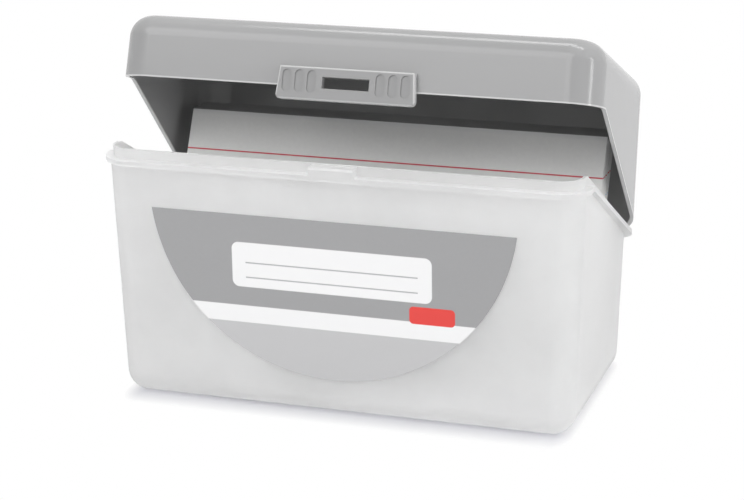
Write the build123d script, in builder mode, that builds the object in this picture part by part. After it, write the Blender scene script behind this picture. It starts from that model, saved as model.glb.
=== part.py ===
"""Index card box: a frosted tray, a hinged lid with a sprung latch tab, and ruled cards.

Millimetres, +Z up, front towards -Y. The origin is on the table, under the middle of the flange.
The lid and its tab are drawn closed and then turned open about the hinge.
"""

import os
from math import asin, atan, cos, radians, sin, sqrt, tan

from build123d import *

os.makedirs("parts", exist_ok=True)

# Index cards, 3 by 5 inches
card_width = 127.0
card_height = 76.2
card_thickness = 0.25
card_pitch = 0.62  # step from card to card along the floor
card_count = 14  # cards behind the front one
card_shuffle = 0.3  # how far single cards stand out sideways
card_shuffle_turn = 2.4  # radians from card to card, spreads the shuffle unevenly
card_foot_gap = 17.5  # front card's foot behind the front wall
card_top_gap = 1.8  # last card's top to the closed lid's back wall, clear of its corners
card_seat_gap = 0.3  # card's lower corners above the rounded floor edge
card_side_gap = 1.1  # card's edge to the tray's side wall, at the foot

# Tray
wall = 1.6
floor_thickness = 1.5
tray_depth = 66.6  # front to back, with the walls' lean carried up to the rim
side_draft = 2.3  # lean of each side wall, from foot to rim
end_draft = 1.1  # lean of the front and back walls, from foot to rim
tray_radius = 6.6  # upright corners and foot edges
rim_below_card = 3.0  # front rim under the top of an upright card
rim_drop = 30.8  # fall of the rim from front to back
rim_level = 11.2  # level stretch of the rim before it falls
rim_bend = 5.0  # rounding where the rim starts to fall
lip_height = 2.75  # rim above the flange that the lid sits on
lip_inset = 0.7  # lip set in from the outside of the wall below it
lip_radius = 6.6  # upright corners of the lip, clear of the lid's as it opens
flange_thickness = 1.4
flange_side = 1.35
flange_front = 2.1
flange_back = 1.7

# Lid
lid_wall = 1.1
lid_gap = 0.15  # closed lid above the flange
lid_front_height = 18.45
lid_top_drop = 4.6  # fall of the lid's top from front to back
lid_top_radius = 6.2
lid_corner_radius = 9.2
lid_side_lean = 1.0  # degrees
lid_front_lean = 0.5  # degrees
lid_back_lean = 4.3  # degrees
lid_open_angle = 18.6  # degrees from closed

# Snap hinge: clips on the lid grip pins on the tray
hinge_offset = 38.0  # each clip from the middle of the box
hinge_room = 0.2  # clip behind the tray's rim
hinge_clear = 0.25  # ear's top below the closed lid's edge
pin_radius = 1.4
pin_clearance = 0.05
clip_thickness = 0.95
clip_width = 13.4
clip_mouth = 100.0  # degrees of the ring left open
clip_mouth_side = 225.0  # degrees, the opening looks forward and down
clip_shoulder = 45.0  # degrees, where the stem meets the ring
clip_root = 3.0  # how far the stem reaches up the lid's back wall
ear_thickness = 2.2
ear_gap = 0.3
ear_gusset = 6.0  # foot of the ear below the pin's axis

# Catch on the tray and latch tab on the lid
catch_width = 12.8
catch_height = 2.5
catch_reach = 0.7  # catch in front of the flange
catch_chamfer = 0.6
catch_gap = 0.35  # room round the catch in the tab's window
notch_room = 0.4  # room round the window in the lid's own wall
tab_width = 40.2  # along its lower edge
tab_flare = 0.8  # each end leans in from the lower edge to the top
tab_rise = 5.4  # above the parting line
tab_drop = 3.7  # below the parting line
tab_thickness = 1.9
tab_gap = 0.35  # tab's back to the lid's front wall
tab_root = 1.0  # strip along the tab's top that meets the lid
tab_radius = 1.3
tab_edge = 0.4  # rounding of the tab's outer edges
flute_count = 3  # finger flutes on each side of the window
flute_width = 2.6
flute_length = 6.2
flute_depth = 0.4
flute_pitch = 3.6
flute_margin = 0.9  # flutes below the tab's top

# Label
label_width = 105.2
label_height = 46.3
label_below = 13.25  # straight edge below the parting line
label_shift = -1.5  # label's middle from the tray's middle
label_thickness = 0.15

# Places that follow from the sizes
overrun = 10.0  # how far cutting shapes reach past what they cut
foot_half = card_width / 2 + card_side_gap + wall
box_half = foot_half + side_draft + flange_side
box_depth = tray_depth + flange_front + flange_back
front = -box_depth / 2
back = box_depth / 2
tray_front = front + flange_front
tray_back = back - flange_back
rim_front = card_height - rim_below_card
part_front = rim_front - lip_height
part_back = part_front - rim_drop
box_height = part_front + lid_front_height
lid_low = part_back - lip_height
clip_bore = pin_radius + pin_clearance
clip_radius = clip_bore + clip_thickness
clip_half = clip_width / 2 + ear_gap
hinge_y = tray_back + hinge_room + clip_radius
hinge_z = part_back - hinge_clear - clip_radius
lid_hinge = Axis((0, hinge_y, hinge_z), (-1, 0, 0))
tab_top_width = tab_width - 2 * tab_flare
window_width = catch_width + 2 * catch_gap
window_height = catch_height + 2 * catch_gap
label_top = part_front - label_below


def tray_inset(height):
    """How far the front and back walls have leaned in at a height"""
    return end_draft * (1 - height / rim_front)


def tray_outline(height, inset):
    """Tray's half width, front and back at a height, drawn in by a wall"""
    half = foot_half + side_draft * height / rim_front
    fore = tray_front + tray_inset(height)
    aft = tray_back - tray_inset(height)
    return half - inset, fore + inset, aft - inset


def lid_outline(height, inset):
    """Closed lid's half width, front and back at a height, drawn in by a wall"""
    half = box_half - (height - part_back) * tan(radians(lid_side_lean))
    fore = front + (height - part_front) * tan(radians(lid_front_lean))
    aft = back - (height - part_back) * tan(radians(lid_back_lean))
    return half - inset, fore + inset, aft - inset


def leaning_block(outline, low, high, inset):
    """Block between two heights with four flat walls that lean as the outline does"""
    low_half, low_fore, low_aft = outline(low, inset)
    high_half, high_fore, high_aft = outline(high, inset)
    with BuildPart() as block:
        with BuildSketch(Plane.XZ):
            with BuildLine():
                Polyline(
                    (-low_half, low),
                    (low_half, low),
                    (high_half, high),
                    (-high_half, high),
                    close=True,
                )
            make_face()
        extrude(amount=box_depth, both=True)
        with BuildSketch(Plane.YZ):
            with BuildLine():
                Polyline(
                    (low_fore, low),
                    (low_aft, low),
                    (high_aft, high),
                    (high_fore, high),
                    close=True,
                )
            make_face()
        extrude(amount=box_half + overrun, both=True, mode=Mode.INTERSECT)
    return block.part


def parting_points(level):
    """Parting line in side view, moved up by a level: level at the front, falling to the back"""
    fall = rim_drop / (box_depth - rim_level)
    return (
        (front - overrun, part_front + level),
        (front + rim_level, part_front + level),
        (back + overrun, part_back + level - fall * overrun),
    )


def parting_band(low, high):
    """Strip in side view that follows the parting line between two levels"""
    with BuildSketch(Plane.YZ) as strip:
        with BuildLine():
            lower = FilletPolyline(*parting_points(low), radius=rim_bend)
            upper = FilletPolyline(*parting_points(high), radius=rim_bend)
            Line(lower @ 0, upper @ 0)
            Line(lower @ 1, upper @ 1)
        make_face()
    return strip.sketch


def above_roof(depth):
    """Side view of the space over the lid's sloping top, lowered by a depth"""
    fall = lid_top_drop / box_depth
    with BuildSketch(Plane.YZ) as space:
        with BuildLine():
            Polyline(
                (front - overrun, box_height - depth + fall * overrun),
                (back + overrun, box_height - depth - lid_top_drop - fall * overrun),
                (back + overrun, box_height + overrun),
                (front - overrun, box_height + overrun),
                close=True,
            )
        make_face()
    return space.sketch


def from_pin(distance, angle):
    """Point in side view at a distance and an angle from the hinge pin's axis"""
    turn = radians(angle)
    return (hinge_y + distance * cos(turn), hinge_z + distance * sin(turn))


def ear_profile(place):
    """Ear that carries the hinge pin, rooted in the tray's back wall"""
    root = tray_back - tray_inset(hinge_z) - wall / 2
    with BuildSketch(Plane.YZ.offset(place)) as ear:
        with Locations((hinge_y, hinge_z)):
            Circle(clip_radius)
        with BuildLine():
            Polyline(
                (root, hinge_z + clip_radius),
                (hinge_y, hinge_z + clip_radius),
                (hinge_y, hinge_z - clip_radius),
                (root, hinge_z - ear_gusset),
                close=True,
            )
        make_face()
    return ear.sketch


def clip_profile(place):
    """Open ring that snaps over the hinge pin, with its stem to the lid's back wall"""
    stem_top = part_back + clip_root
    stem_back = lid_outline(stem_top, 0)[2]
    stem_front = back - lid_wall
    mouth_reach = 2 * clip_radius
    with BuildSketch(Plane.YZ.offset(place)) as clip:
        with Locations((hinge_y, hinge_z)):
            Circle(clip_radius)
        with BuildLine():
            Polyline(
                (stem_back - lid_wall / 2, stem_top),
                (stem_back, stem_top),
                from_pin(clip_radius, clip_shoulder),
                (hinge_y, hinge_z),
                (stem_front, from_pin(clip_radius, clip_shoulder)[1]),
                (stem_front, part_back + lid_wall),
                close=True,
            )
        make_face()
        with Locations((hinge_y, hinge_z)):
            Circle(clip_bore, mode=Mode.SUBTRACT)
        with BuildLine():
            Polyline(
                (hinge_y, hinge_z),
                from_pin(mouth_reach, clip_mouth_side - clip_mouth / 2),
                from_pin(mouth_reach, clip_mouth_side + clip_mouth / 2),
                close=True,
            )
        make_face(mode=Mode.SUBTRACT)
    return clip.sketch


# Planes of the closed lid's front wall and of the tray's front wall, seen from outside
lid_lean = radians(lid_front_lean)
lid_face = Plane(
    origin=(0, front, part_front),
    x_dir=(1, 0, 0),
    z_dir=(0, -cos(lid_lean), sin(lid_lean)),
)
tray_lean = atan(end_draft / rim_front)
tray_face = Plane(
    origin=(0, tray_front + tray_inset(label_top), label_top),
    x_dir=(1, 0, 0),
    z_dir=(0, -cos(tray_lean), -sin(tray_lean)),
)

# Outside of the tray and the space inside it, rounded along all edges but those of the top
tray_block = leaning_block(tray_outline, 0, rim_front, 0)
tray_space = leaning_block(tray_outline, floor_thickness, rim_front, wall)

with BuildPart() as tray_cavity:
    add(tray_space)
    fillet(tray_cavity.edges().group_by(Axis.Z)[:-1], tray_radius - wall)

# Flange that the lid sits on, open where the lid's clips pass
with BuildPart() as tray_flange:
    with BuildSketch():
        RectangleRounded(2 * box_half, box_depth, lid_corner_radius)
    extrude(amount=rim_front)
    extrude(
        parting_band(-flange_thickness, 0),
        amount=box_half + overrun,
        both=True,
        mode=Mode.INTERSECT,
    )
    with BuildSketch():
        with Locations((-hinge_offset, back), (hinge_offset, back)):
            Rectangle(2 * clip_half, 2 * (flange_back + wall))
    extrude(amount=rim_front, mode=Mode.SUBTRACT)

# Room round the lip for the lid's edge
with BuildPart() as tray_lip:
    add(leaning_block(tray_outline, 0, rim_front, lip_inset))
    fillet(tray_lip.edges().group_by(Axis.Z)[1:-1], lip_radius)

with BuildPart() as lid_room:
    extrude(parting_band(0, box_height), amount=box_half + overrun, both=True)
    add(tray_lip.part, mode=Mode.SUBTRACT)

# Frosted tray with its lip, flange, catch and hinge pins
with BuildPart() as base_tray:
    add(tray_block)
    fillet(base_tray.edges().group_by(Axis.Z)[:-1], tray_radius)
    extrude(
        parting_band(lip_height, box_height),
        amount=box_half + overrun,
        both=True,
        mode=Mode.SUBTRACT,
    )
    add(lid_room.part, mode=Mode.SUBTRACT)
    add(tray_flange.part)
    catch_length = catch_reach + flange_front + (lip_inset + wall) / 2
    with BuildSketch(Plane.XY.offset(part_front)):
        with Locations((0, front - catch_reach + catch_length / 2)):
            Rectangle(catch_width, catch_length)
    extrude(amount=catch_height)
    catch_edge = base_tray.edges().filter_by(Axis.X).group_by(Axis.Y)[0].sort_by(Axis.Z)[-1]
    chamfer(catch_edge, catch_chamfer)
    add(tray_cavity.part, mode=Mode.SUBTRACT)
    for side in (-hinge_offset, hinge_offset):
        for end in (-1, 1):
            extrude(ear_profile(side + end * clip_half), amount=end * ear_thickness)
        with BuildSketch(Plane.YZ.offset(side)):
            with Locations((hinge_y, hinge_z)):
                Circle(pin_radius)
        extrude(amount=clip_half + ear_thickness / 2, both=True)

base_tray.part.label = "base_tray"
export_step(base_tray.part, "parts/base_tray.step")

# Outside of the closed lid and the space inside it, with rounded corners and top edges
lid_block = leaning_block(lid_outline, lid_low, box_height, 0)
lid_space = leaning_block(lid_outline, lid_low, box_height, lid_wall)

with BuildPart() as lid_cavity:
    add(lid_space)
    fillet(lid_cavity.edges().group_by(Axis.Z)[1:-1], lid_corner_radius - lid_wall)
    extrude(above_roof(lid_wall), amount=box_half + overrun, both=True, mode=Mode.SUBTRACT)
    fillet(lid_cavity.faces().sort_by(Axis.Z)[-1].edges(), lid_top_radius - lid_wall)

# Grey lid, drawn closed, with its two hinge clips and a notch behind the tab's window
with BuildPart() as closed_lid:
    add(lid_block)
    fillet(closed_lid.edges().group_by(Axis.Z)[1:-1], lid_corner_radius)
    extrude(above_roof(0), amount=box_half + overrun, both=True, mode=Mode.SUBTRACT)
    fillet(closed_lid.faces().sort_by(Axis.Z)[-1].edges(), lid_top_radius)
    add(lid_cavity.part, mode=Mode.SUBTRACT)
    extrude(
        parting_band(lid_gap, box_height),
        amount=box_half + overrun,
        both=True,
        mode=Mode.INTERSECT,
    )
    notch_top = catch_height + catch_gap + notch_room
    with BuildSketch(lid_face):
        Rectangle(window_width + 2 * notch_room, 2 * notch_top)
    extrude(amount=-2 * lid_wall, mode=Mode.SUBTRACT)
    for side in (-hinge_offset, hinge_offset):
        extrude(clip_profile(side), amount=clip_width / 2, both=True)

with BuildPart() as lid:
    add(closed_lid.part.rotate(lid_hinge, lid_open_angle))

lid.part.label = "lid"
export_step(lid.part, "parts/lid.step")

# Latch tab, drawn on the closed lid: it bends along its top edge
with BuildPart() as closed_tab:
    with BuildSketch(lid_face.offset(tab_gap)) as tab_outline:
        with BuildLine():
            Polyline(
                (-tab_width / 2, -tab_drop),
                (tab_width / 2, -tab_drop),
                (tab_top_width / 2, tab_rise),
                (-tab_top_width / 2, tab_rise),
                close=True,
            )
        make_face()
        fillet(tab_outline.vertices().group_by(Axis.Y)[0], tab_radius)
    extrude(amount=tab_thickness)
    fillet(closed_tab.faces().sort_by(Axis.Y)[0].edges(), tab_edge)
    with BuildSketch(lid_face.offset(tab_gap)):
        with Locations((0, catch_height / 2)):
            Rectangle(window_width, window_height)
    extrude(amount=tab_thickness, mode=Mode.SUBTRACT)
    flute_side = (tab_width + window_width) / 4
    flute_level = tab_rise - flute_margin - flute_length / 2
    with BuildSketch(lid_face.offset(tab_gap + tab_thickness)):
        with Locations((-flute_side, flute_level), (flute_side, flute_level)):
            with GridLocations(flute_pitch, 0, flute_count, 1):
                SlotOverall(flute_length, flute_width, rotation=90)
    extrude(amount=-flute_depth, mode=Mode.SUBTRACT)
    with BuildSketch(lid_face):
        with Locations((0, tab_rise - tab_root / 2)):
            Rectangle(tab_top_width, tab_root)
    extrude(amount=tab_gap)

with BuildPart() as latch_tab:
    add(closed_tab.part.rotate(lid_hinge, lid_open_angle))

latch_tab.part.label = "latch_tab"
export_step(latch_tab.part, "parts/latch_tab.step")

# Half-round paper label on the tray's front wall
with BuildPart() as front_label:
    with BuildSketch(tray_face):
        with BuildLine():
            chord = Line(
                (label_shift - label_width / 2, 0),
                (label_shift + label_width / 2, 0),
            )
            ThreePointArc(chord @ 0, (label_shift, -label_height), chord @ 1)
        make_face()
    extrude(amount=label_thickness)

front_label.part.label = "front_label"
export_step(front_label.part, "parts/front_label.step")

# Cards: they stand on the rounded ends of the floor and lean back towards the lid
seat_radius = tray_radius - wall
seat_middle = tray_outline(floor_thickness, wall)[0] - seat_radius
seat_side = card_width / 2 + card_shuffle - seat_middle
seat_height = floor_thickness + seat_radius - sqrt(seat_radius**2 - seat_side**2)
card_foot_z = seat_height + card_seat_gap
card_foot_y = tray_front + tray_inset(card_foot_z) + wall + card_foot_gap
stack_depth = card_count * card_pitch + card_thickness
lean_room = lid_outline(card_height, lid_wall)[2] - card_top_gap - stack_depth - card_foot_y
card_lean = asin(lean_room / card_height)


def card_face(step):
    """Plane of a card's front, that many cards behind the front one"""
    shuffle = card_shuffle * sin(card_shuffle_turn * step)
    return Plane(
        origin=(shuffle, card_foot_y + step * card_pitch, card_foot_z),
        x_dir=(1, 0, 0),
        z_dir=(0, -cos(card_lean), sin(card_lean)),
    )


with BuildPart() as front_card:
    with BuildSketch(card_face(0)):
        Rectangle(card_width, card_height, align=(Align.CENTER, Align.MIN))
    extrude(amount=-card_thickness)

front_card.part.label = "front_card"
export_step(front_card.part, "parts/front_card.step")

with BuildPart() as card_stack:
    for step in range(1, card_count + 1):
        with BuildSketch(card_face(step)):
            Rectangle(card_width, card_height, align=(Align.CENTER, Align.MIN))
        extrude(amount=-card_thickness)

card_stack.part.label = "card_stack"
export_step(card_stack.part, "parts/card_stack.step")
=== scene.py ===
"""Looks of the index card box: frosted tray, grey lid with its latch tab, label and ruled cards.

Metres, in the frame of the CAD model: +Z up, front towards -Y.
"""

from math import cos, radians, sin

import bpy
from mathutils import Matrix, Vector


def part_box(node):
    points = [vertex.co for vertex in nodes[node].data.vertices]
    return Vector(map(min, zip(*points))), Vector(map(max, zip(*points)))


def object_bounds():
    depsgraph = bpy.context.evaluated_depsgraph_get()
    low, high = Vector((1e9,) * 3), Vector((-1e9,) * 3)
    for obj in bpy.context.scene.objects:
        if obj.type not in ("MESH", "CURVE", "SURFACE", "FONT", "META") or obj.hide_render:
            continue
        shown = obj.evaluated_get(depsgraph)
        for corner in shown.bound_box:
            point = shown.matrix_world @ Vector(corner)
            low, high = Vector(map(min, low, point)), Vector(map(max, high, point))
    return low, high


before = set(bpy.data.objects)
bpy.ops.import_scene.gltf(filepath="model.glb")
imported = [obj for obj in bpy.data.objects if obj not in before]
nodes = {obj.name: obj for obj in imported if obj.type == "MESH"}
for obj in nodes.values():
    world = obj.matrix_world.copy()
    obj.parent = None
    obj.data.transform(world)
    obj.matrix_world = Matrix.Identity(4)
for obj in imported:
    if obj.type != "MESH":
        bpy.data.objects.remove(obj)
cad_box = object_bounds()
scene = bpy.context.scene
MM = 0.001


def grey(tone):
    """Neutral colour of a tone."""
    return (tone, tone, tone, 1)


# Camera, fitted to the photograph: angles in degrees, lens in millimetres
CAMERA_AZIMUTH = 18.52
CAMERA_ELEVATION = 17.31
CAMERA_ROLL = -0.64
CAMERA_DISTANCE = 620.6 * MM
CAMERA_TARGET = Vector((-0.42, 0, 39.46)) * MM
CAMERA_LENS = 104.2

# Lamps: azimuth, elevation, distance, width, height and power
LAMPS = {
    "front_softbox": (-20, 41, 0.95, 0.96, 0.56, 5.7),
    "overhead_strip": (160, 80, 0.95, 0.90, 0.20, 4.1),
    "right_strip": (80, 14, 0.95, 0.12, 0.48, 1.9),
}

# World: even light, more from the right, and where that begins and is full from front to back
AMBIENT = 0.23
RIGHT_FILL = 2.1
RIGHT_FILL_FROM = (-0.6, 0.2)

# Floor: contact line of the foot, start and end of the shade beyond it, narrower at the sides;
# near the foot the floor darkens to its shade colour, painted shade on top of the real shadow
FLOOR_SIZE = 6.0
FOOT_SIZE = (121.2 * MM, 53.2 * MM)
FLOOR_SHADE = (1.0 * MM, 11.0 * MM)
FLOOR_SHADE_SIDES = 1.87
FLOOR_SHADE_COLOUR = (0.65, 0.65, 0.69, 1)
FLOOR_COLOUR_HIDDEN = (0.70, 0.70, 0.71, 1)

# Light that the floor gives back near the foot and further out, not seen by the camera
FLOOR_GLOW_HIDDEN = (0.45, 0.13)

# Span of a noise texture that holds most of its values
NOISE_SPAN = (0.3, 0.7)

# Frosted tray: noise in cells per metre, relief as strength and depth, and the share of the lamps'
# light that each surface of the milky plastic lets through
TRAY_CLOUDS = 110.0
TRAY_GRAIN = 2600.0
TRAY_COLOURS = (grey(0.875), grey(0.92))
TRAY_ROUGHNESS = (0.40, 0.50)
TRAY_IOR = 1.49
TRAY_TRANSMISSION = 0.65
TRAY_RELIEF = (0.12, 0.05 * MM)
TRAY_LIGHT_THROUGH = 0.6

# Grey plastic: tones of the lid and the tab and of their painted edge highlights, flow and peel in
# cells per metre, and the flow's two tints of the tone
LID_TONE = 0.335
LID_HIGHLIGHT_TONE = 0.56
LID_ROUGHNESS = 0.18
TAB_TONE = 0.305
TAB_HIGHLIGHT_TONE = 0.52
TAB_ROUGHNESS = 0.30
GREY_FLOW = 30.0
GREY_PEEL = 700.0
GREY_DARKER = (0.97, 0.97, 0.975)
GREY_LIGHTER = (1.03, 1.03, 1.035)
GREY_ROUGHNESS_SPREAD = 0.03
GREY_IOR = 1.5
GREY_SPECULAR = 0.3
GREY_RELIEF = (0.05, 0.04 * MM)

# Edges of the mouldings that are softened
MOULD_EDGE = 0.22 * MM
MOULD_EDGE_ANGLE = 40
WELD_GAP = 0.001 * MM

# Lower edge of the lid as it stands open: Y and Z of its planes' directions, and their distance,
# and the height of the painted highlight along it
LID_EDGE_FRONT = (0.3190, 0.9478, 80.19 * MM)
LID_EDGE_SIDE = (0.7204, 0.6935, 53.74 * MM)
LID_HIGHLIGHT_HEIGHT = 0.5 * MM

# Painted highlights on the tab's edges: heights of the top and lower one above the lid's lower
# edge, and the leaning ends
TAB_HIGHLIGHTS = (5.2 * MM, -3.8 * MM)
TAB_HIGHLIGHT_HEIGHT = 0.7 * MM
TAB_HIGHLIGHT_SOFT = 0.1 * MM
TAB_END = 19.75 * MM
TAB_END_LEAN = 0.088
TAB_END_HIGHLIGHT = (0.5 * MM, 0.3 * MM)

# Cards: paper, painted shade along the top edge, and the printed rules on the front
CARD_HEIGHT = 76.2 * MM
CARD_FIBRES = 900.0
CARD_COLOURS = ((0.82, 0.82, 0.81, 1), (0.88, 0.88, 0.87, 1))
CARD_ROUGHNESS = 0.75
CARD_RELIEF = (0.15, 0.03 * MM)
CARD_TOP_SHADE = (0.5 * MM, 1.5 * MM)
CARD_FRONT_FACING = (-0.6, -0.5)
CARD_PRINT_SOFT = 0.06 * MM
RED_RULE = (0.62, 0.08, 0.10, 1)
RED_RULE_BELOW_TOP = 12.0 * MM
RED_RULE_WIDTH = 0.42 * MM
BLUE_RULE = (0.42, 0.60, 0.78, 1)
BLUE_RULE_PITCH = 6.35 * MM
BLUE_RULE_WIDTH = 0.25 * MM

# Label: paper, and the print placed from the middle of its straight edge
LABEL_FIBRES = 1200.0
LABEL_COLOURS = ((0.35, 0.35, 0.355, 1), (0.37, 0.37, 0.375, 1))
LABEL_FOOT = (0.56, 0.56, 0.565, 1)
LABEL_WHITE = grey(0.92)
LABEL_ROUGHNESS = (0.42, 0.5)
LABEL_RELIEF = (0.06, 0.02 * MM)
LABEL_PRINT_SOFT = 0.08 * MM
PANEL_SIZE = (58 * MM, 13 * MM)
PANEL_DROP = 14.5 * MM
PANEL_RADIUS = 2.0 * MM
PANEL_RULE = (0.42, 0.42, 0.43, 1)
PANEL_RULES = (-0.05, 0.28)
PANEL_RULE_AREA = (50 * MM, 13 * MM)
PANEL_RULE_RADIUS = 0.2 * MM
PANEL_RULE_WIDTH = 0.35 * MM
BAND_DROP = 29.0 * MM
BAND_HEIGHT = 5.0 * MM
TAG_COLOUR = (0.80, 0.06, 0.05, 1)
TAG_SIZE = (13.0 * MM, 5.0 * MM)
TAG_PLACE = (29.0 * MM, 24.6 * MM)
TAG_RADIUS = 1.2 * MM


def feed(tree, socket, value):
    """Sets a socket to a number or colour, or links it to another socket."""
    if isinstance(value, bpy.types.NodeSocket):
        tree.links.new(value, socket)
    else:
        socket.default_value = value


def calc(tree, operation, first, second=0.0):
    """One math node."""
    node = tree.nodes.new("ShaderNodeMath")
    node.operation = operation
    feed(tree, node.inputs[0], first)
    feed(tree, node.inputs[1], second)
    return node.outputs[0]


def blend(tree, factor, first, second):
    """Mixes two colours."""
    node = tree.nodes.new("ShaderNodeMix")
    node.data_type = "RGBA"
    feed(tree, node.inputs["Factor"], factor)
    feed(tree, node.inputs["A"], first)
    feed(tree, node.inputs["B"], second)
    return node.outputs["Result"]


def mix_shaders(tree, factor, first, second):
    """Mixes two shaders."""
    node = tree.nodes.new("ShaderNodeMixShader")
    for socket, value in zip(node.inputs, (factor, first, second)):
        tree.links.new(value, socket)
    return node.outputs[0]


def ramp(tree, value, low, high, low_out=0.0, high_out=1.0):
    """Maps a value from one span to another, clamped."""
    node = tree.nodes.new("ShaderNodeMapRange")
    feed(tree, node.inputs["Value"], value)
    node.inputs["From Min"].default_value = low
    node.inputs["From Max"].default_value = high
    node.inputs["To Min"].default_value = low_out
    node.inputs["To Max"].default_value = high_out
    return node.outputs["Result"]


def noise(tree, coordinates, scale, detail):
    """Grey noise, with its scale in cells per metre."""
    node = tree.nodes.new("ShaderNodeTexNoise")
    node.inputs["Scale"].default_value = scale
    node.inputs["Detail"].default_value = detail
    tree.links.new(coordinates, node.inputs["Vector"])
    return node.outputs["Fac"]


def bump(tree, shader, height, relief):
    """Small relief on a shader, as strength and depth."""
    node = tree.nodes.new("ShaderNodeBump")
    node.inputs["Strength"].default_value, node.inputs["Distance"].default_value = relief
    tree.links.new(height, node.inputs["Height"])
    tree.links.new(node.outputs["Normal"], shader.inputs["Normal"])


def split(tree, vector):
    """X, Y and Z of a vector."""
    node = tree.nodes.new("ShaderNodeSeparateXYZ")
    tree.links.new(vector, node.inputs[0])
    return node.outputs


def stripe(tree, value, centre, width, soft):
    """One inside a stripe of a value, zero outside."""
    offset = calc(tree, "ABSOLUTE", calc(tree, "SUBTRACT", value, centre))
    return ramp(tree, offset, width / 2 - soft, width / 2 + soft, 1.0, 0.0)


def beyond(tree, point, centre, size):
    """How far a point lies outside a rectangle."""
    squares = []
    for value, middle, span in zip(point, centre, size):
        offset = calc(tree, "ABSOLUTE", calc(tree, "SUBTRACT", value, middle))
        outside = calc(tree, "MAXIMUM", calc(tree, "SUBTRACT", offset, span / 2), 0.0)
        squares.append(calc(tree, "MULTIPLY", outside, outside))
    return calc(tree, "SQRT", calc(tree, "ADD", *squares))


def panel(tree, point, centre, size, radius, soft):
    """One inside a rounded rectangle, zero outside."""
    core = [span - 2 * radius for span in size]
    distance = beyond(tree, point, centre, core)
    return ramp(tree, distance, radius - soft, radius + soft, 1.0, 0.0)


def above(tree, place, plane):
    """Height of a point above a plane that runs along X."""
    along_y, along_z, distance = plane
    _, y, z = split(tree, place)
    y, z = calc(tree, "MULTIPLY", y, along_y), calc(tree, "MULTIPLY", z, along_z)
    return calc(tree, "SUBTRACT", calc(tree, "ADD", y, z), distance)


def empty_material(name):
    """Material without nodes but its output, and its tree."""
    material = bpy.data.materials.new(name)
    material.use_nodes = True
    tree = material.node_tree
    tree.nodes.clear()
    output = tree.nodes.new("ShaderNodeOutputMaterial")
    return material, tree, output.inputs["Surface"]


def new_material(name):
    """Material with one principled shader, its tree, its surface and texture coordinates."""
    material, tree, surface = empty_material(name)
    shader = tree.nodes.new("ShaderNodeBsdfPrincipled")
    tree.links.new(shader.outputs["BSDF"], surface)
    coordinates = tree.nodes.new("ShaderNodeTexCoord")
    return material, tree, shader, surface, coordinates


def let_lamps_through(tree, shader, surface, share):
    """Lets a share of the lamps' light through each surface, as milky plastic does."""
    clear = tree.nodes.new("ShaderNodeBsdfTransparent")
    clear.inputs["Color"].default_value = grey(share)
    shadow = tree.nodes.new("ShaderNodeLightPath").outputs["Is Shadow Ray"]
    either = mix_shaders(tree, shadow, shader.outputs["BSDF"], clear.outputs["BSDF"])
    tree.links.new(either, surface)


def frosted_plastic():
    """Milky clear plastic with a fine moulded grain."""
    material, tree, shader, surface, coordinates = new_material("frosted_plastic")
    place = coordinates.outputs["Object"]
    clouds = ramp(tree, noise(tree, place, TRAY_CLOUDS, 4.0), *NOISE_SPAN)
    grain = noise(tree, place, TRAY_GRAIN, 2.0)
    feed(tree, shader.inputs["Base Color"], blend(tree, clouds, *TRAY_COLOURS))
    feed(tree, shader.inputs["Roughness"], ramp(tree, clouds, 0.0, 1.0, *TRAY_ROUGHNESS))
    shader.inputs["IOR"].default_value = TRAY_IOR
    shader.inputs["Transmission Weight"].default_value = TRAY_TRANSMISSION
    bump(tree, shader, grain, TRAY_RELIEF)
    let_lamps_through(tree, shader, surface, TRAY_LIGHT_THROUGH)
    return material


def lid_edge_highlight(tree, place):
    """One along the lid's lower edge: a painted highlight where the thin plastic catches the
    light.
    """
    front, side = above(tree, place, LID_EDGE_FRONT), above(tree, place, LID_EDGE_SIDE)
    height = calc(tree, "MAXIMUM", front, side)
    return ramp(tree, height, 0.6 * LID_HIGHLIGHT_HEIGHT, LID_HIGHLIGHT_HEIGHT, 1.0, 0.0)


def tab_edge_highlights(tree, place):
    """One along the tab's top and lower edges and its ends, where highlights are painted."""
    height = above(tree, place, LID_EDGE_FRONT)
    # Painted highlights on the top and lower edges, and below on the ends.
    top, low = [stripe(tree, height, level, TAB_HIGHLIGHT_HEIGHT, TAB_HIGHLIGHT_SOFT) for level in TAB_HIGHLIGHTS]
    out = calc(tree, "ABSOLUTE", split(tree, place)[0])
    out = calc(tree, "ADD", out, calc(tree, "MULTIPLY", height, TAB_END_LEAN))
    end = ramp(tree, out, *[TAB_END - inset for inset in TAB_END_HIGHLIGHT])
    return calc(tree, "MAXIMUM", calc(tree, "MAXIMUM", top, low), end)


def grey_plastic(name, tone, painted_edge_tone, painted_edge, roughness):
    """Smooth grey moulded plastic with a faint flow pattern and painted highlights along its
    edges.
    """
    material, tree, shader, _, coordinates = new_material(name)
    place = coordinates.outputs["Object"]
    flow = noise(tree, place, GREY_FLOW, 4.0)
    peel = noise(tree, place, GREY_PEEL, 2.0)
    darker, lighter = [
        (*[tone * part for part in tint], 1) for tint in (GREY_DARKER, GREY_LIGHTER)
    ]
    colour = blend(tree, flow, darker, lighter)
    # Painted highlight along the edges, lighter than the plastic's tone.
    colour = blend(tree, painted_edge(tree, place), colour, grey(painted_edge_tone))
    feed(tree, shader.inputs["Base Color"], colour)
    spread = (roughness - GREY_ROUGHNESS_SPREAD, roughness + GREY_ROUGHNESS_SPREAD)
    feed(tree, shader.inputs["Roughness"], ramp(tree, flow, *NOISE_SPAN, *spread))
    shader.inputs["IOR"].default_value = GREY_IOR
    shader.inputs["Specular IOR Level"].default_value = GREY_SPECULAR
    bump(tree, shader, peel, GREY_RELIEF)
    return material


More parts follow.
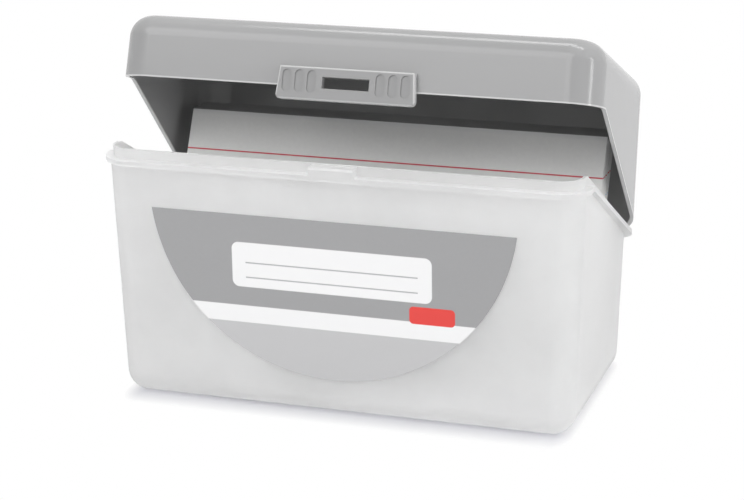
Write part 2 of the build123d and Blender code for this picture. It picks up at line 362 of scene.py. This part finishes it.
def card_paper(name, painted_edge_tone):
    """White card with a red head rule and blue rules on its front, and painted shade along its top
    edge.
    """
    material, tree, shader, _, coordinates = new_material(name)
    place = coordinates.outputs["Object"]
    fibres = noise(tree, place, CARD_FIBRES, 5.0)
    low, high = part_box("front_card")
    below = calc(tree, "SUBTRACT", high.z, split(tree, place)[2])
    below = calc(tree, "MULTIPLY", below, CARD_HEIGHT / (high.z - low.z))
    facing = split(tree, coordinates.outputs["Normal"])[1]
    front = ramp(tree, facing, *CARD_FRONT_FACING, 1.0, 0.0)
    red = stripe(tree, below, RED_RULE_BELOW_TOP, RED_RULE_WIDTH, CARD_PRINT_SOFT)
    red = calc(tree, "MULTIPLY", red, front)
    past_red = calc(tree, "SUBTRACT", below, RED_RULE_BELOW_TOP + BLUE_RULE_PITCH / 2)
    in_pitch = calc(tree, "MODULO", past_red, BLUE_RULE_PITCH)
    blue = stripe(tree, in_pitch, BLUE_RULE_PITCH / 2, BLUE_RULE_WIDTH, CARD_PRINT_SOFT)
    blue = calc(tree, "MULTIPLY", blue, calc(tree, "GREATER_THAN", past_red, 0.0))
    blue = calc(tree, "MULTIPLY", blue, front)
    colour = blend(tree, fibres, *CARD_COLOURS)
    colour = blend(tree, blue, colour, BLUE_RULE)
    colour = blend(tree, red, colour, RED_RULE)
    # Painted shade along the top edge of the cards.
    painted_edge = ramp(tree, below, *CARD_TOP_SHADE, 1.0, 0.0)
    colour = blend(tree, painted_edge, colour, grey(painted_edge_tone))
    feed(tree, shader.inputs["Base Color"], colour)
    shader.inputs["Roughness"].default_value = CARD_ROUGHNESS
    bump(tree, shader, fibres, CARD_RELIEF)
    return material


def label_paper():
    """Coated label: grey field, blank title panel, white band, pale foot and a plain red tag."""
    material, tree, shader, _, coordinates = new_material("label_paper")
    place = coordinates.outputs["Object"]
    x, _, z = split(tree, place)
    low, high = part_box("front_label")
    across = calc(tree, "SUBTRACT", x, (low.x + high.x) / 2)
    down = calc(tree, "SUBTRACT", high.z, z)
    point, middle, soft = (across, down), (0.0, PANEL_DROP), LABEL_PRINT_SOFT
    fibres = noise(tree, place, LABEL_FIBRES, 4.0)
    colour = blend(tree, fibres, *LABEL_COLOURS)
    foot = ramp(tree, down, BAND_DROP - soft, BAND_DROP + soft)
    colour = blend(tree, foot, colour, LABEL_FOOT)
    band = stripe(tree, down, BAND_DROP, BAND_HEIGHT, soft)
    colour = blend(tree, band, colour, LABEL_WHITE)
    title = panel(tree, point, middle, PANEL_SIZE, PANEL_RADIUS, soft)
    colour = blend(tree, title, colour, LABEL_WHITE)
    inside = panel(tree, point, middle, PANEL_RULE_AREA, PANEL_RULE_RADIUS, soft)
    for share in PANEL_RULES:
        rule = stripe(tree, down, PANEL_DROP + share * PANEL_SIZE[1], PANEL_RULE_WIDTH, soft)
        colour = blend(tree, calc(tree, "MULTIPLY", rule, inside), colour, PANEL_RULE)
    tag = panel(tree, point, TAG_PLACE, TAG_SIZE, TAG_RADIUS, soft)
    colour = blend(tree, tag, colour, TAG_COLOUR)
    feed(tree, shader.inputs["Base Color"], colour)
    feed(tree, shader.inputs["Roughness"], ramp(tree, fibres, *NOISE_SPAN, *LABEL_ROUGHNESS))
    bump(tree, shader, fibres, LABEL_RELIEF)
    return material


def background_ray(tree):
    """One for rays that show the background: from the camera, a gloss or through the plastic."""
    path = tree.nodes.new("ShaderNodeLightPath")
    seen = calc(tree, "MAXIMUM", path.outputs["Is Camera Ray"], path.outputs["Is Glossy Ray"])
    return calc(tree, "MAXIMUM", seen, path.outputs["Is Transmission Ray"])


def diffuse(tree, colour):
    """Plain matt shader of one colour."""
    node = tree.nodes.new("ShaderNodeBsdfDiffuse")
    node.inputs["Color"].default_value = colour
    return node.outputs["BSDF"]


def floor_material():
    """Pale floor that keeps the shadow near the object, darkening there to its shade colour as
    painted shade, and is plain white further out.
    """
    material, tree, surface = empty_material("floor")
    x, y, _ = split(tree, tree.nodes.new("ShaderNodeTexCoord").outputs["Object"])
    x = calc(tree, "MULTIPLY", x, FLOOR_SHADE_SIDES)
    foot = (FOOT_SIZE[0] * FLOOR_SHADE_SIDES, FOOT_SIZE[1])
    distance = beyond(tree, (x, y), (0.0, 0.0), foot)
    glow = tree.nodes.new("ShaderNodeEmission")
    strength = ramp(tree, distance, *FLOOR_SHADE, *FLOOR_GLOW_HIDDEN)
    feed(tree, glow.inputs["Strength"], strength)
    hidden = tree.nodes.new("ShaderNodeAddShader")
    tree.links.new(diffuse(tree, FLOOR_COLOUR_HIDDEN), hidden.inputs[0])
    tree.links.new(glow.outputs["Emission"], hidden.inputs[1])
    white = tree.nodes.new("ShaderNodeEmission").outputs["Emission"]
    through = tree.nodes.new("ShaderNodeLightPath").outputs["Is Transmission Ray"]
    far = calc(tree, "MAXIMUM", ramp(tree, distance, *FLOOR_SHADE), through)
    # Near the foot the floor takes a darker colour, painted shade under the real shadow.
    seen = mix_shaders(tree, far, diffuse(tree, FLOOR_SHADE_COLOUR), white)
    by_ray = mix_shaders(tree, background_ray(tree), hidden.outputs["Shader"], seen)
    tree.links.new(by_ray, surface)
    return material


def add_floor():
    """Floor under the object, which is no part of it."""
    bpy.ops.mesh.primitive_plane_add(size=FLOOR_SIZE)
    floor = bpy.context.object
    floor.name = "floor"
    floor.data.materials.append(floor_material())


def add_world():
    """White background, and soft light on the object with more of it from the right."""
    world = bpy.data.worlds.new("studio")
    scene.world = world
    world.use_nodes = True
    tree = world.node_tree
    background = tree.nodes["Background"]
    direction = tree.nodes.new("ShaderNodeTexCoord").outputs["Generated"]
    to_right, to_back, _ = split(tree, direction)
    to_right = calc(tree, "MAXIMUM", to_right, 0.0)
    fill = calc(tree, "MULTIPLY", calc(tree, "MULTIPLY", to_right, to_right), RIGHT_FILL)
    fill = calc(tree, "MULTIPLY", fill, ramp(tree, to_back, *RIGHT_FILL_FROM))
    light = calc(tree, "ADD", fill, AMBIENT)
    seen = background_ray(tree)
    unseen = calc(tree, "MULTIPLY", light, calc(tree, "SUBTRACT", 1.0, seen))
    tree.links.new(calc(tree, "ADD", seen, unseen), background.inputs["Strength"])
    background.inputs["Color"].default_value = grey(1)


def around(azimuth, elevation):
    """Direction from the object, with azimuth 0 in front and 90 on the right."""
    a, e = radians(azimuth), radians(elevation)
    return Vector((sin(a) * cos(e), -cos(a) * cos(e), sin(e)))


def add_lamps():
    """Soft studio lamps that face the middle of the object."""
    low, high = cad_box
    middle = (low + high) / 2
    for name, (azimuth, elevation, distance, width, height, power) in LAMPS.items():
        lamp = bpy.data.lights.new(name, "AREA")
        lamp.shape = "RECTANGLE"
        lamp.size = width
        lamp.size_y = height
        lamp.energy = power
        holder = bpy.data.objects.new(name, lamp)
        scene.collection.objects.link(holder)
        direction = around(azimuth, elevation)
        holder.location = middle + direction * distance
        holder.rotation_euler = direction.to_track_quat("Z", "Y").to_euler()


def add_camera():
    """Camera at the photograph's place."""
    back = around(CAMERA_AZIMUTH, CAMERA_ELEVATION)
    level = Vector((cos(radians(CAMERA_AZIMUTH)), sin(radians(CAMERA_AZIMUTH)), 0))
    upright = back.cross(level)
    roll = radians(CAMERA_ROLL)
    right = level * cos(roll) + upright * sin(roll)
    up = upright * cos(roll) - level * sin(roll)
    data = bpy.data.cameras.new("camera")
    data.lens = CAMERA_LENS
    camera = bpy.data.objects.new("camera", data)
    scene.collection.objects.link(camera)
    turn = Matrix((right, up, back)).transposed().to_4x4()
    camera.matrix_world = Matrix.Translation(CAMERA_TARGET + back * CAMERA_DISTANCE) @ turn
    scene.camera = camera


def dress(node, material):
    """Gives a CAD node its material."""
    nodes[node].data.materials.clear()
    nodes[node].data.materials.append(material)


def soften(node):
    """Breaks the sharp edges of a CAD node, as a mould does."""
    piece = nodes[node]
    weld = piece.modifiers.new("weld", "WELD")
    weld.merge_threshold = WELD_GAP
    bevel = piece.modifiers.new("soft_edge", "BEVEL")
    bevel.width = MOULD_EDGE
    bevel.segments = 2
    bevel.limit_method = "ANGLE"
    bevel.angle_limit = radians(MOULD_EDGE_ANGLE)
    flat = piece.modifiers.new("flat_faces", "WEIGHTED_NORMAL")
    flat.weight = 100
    flat.keep_sharp = True


dress("base_tray", frosted_plastic())
# The lid and the tab carry painted highlights along their edges.
dress("lid", grey_plastic("lid_plastic", LID_TONE, LID_HIGHLIGHT_TONE, lid_edge_highlight, LID_ROUGHNESS))
dress("latch_tab", grey_plastic("tab_plastic", TAB_TONE, TAB_HIGHLIGHT_TONE, tab_edge_highlights, TAB_ROUGHNESS))
for node in ("base_tray", "lid", "latch_tab"):
    soften(node)
# Painted shade on the cards' top edges, light on the front card and deep on the stack.
dress("front_card", card_paper("front_card_paper", painted_edge_tone=0.80))
dress("card_stack", card_paper("card_stack_paper", painted_edge_tone=0.42))
dress("front_label", label_paper())

add_floor()
add_world()
add_lamps()
add_camera()
scene.view_settings.view_transform = "Standard"
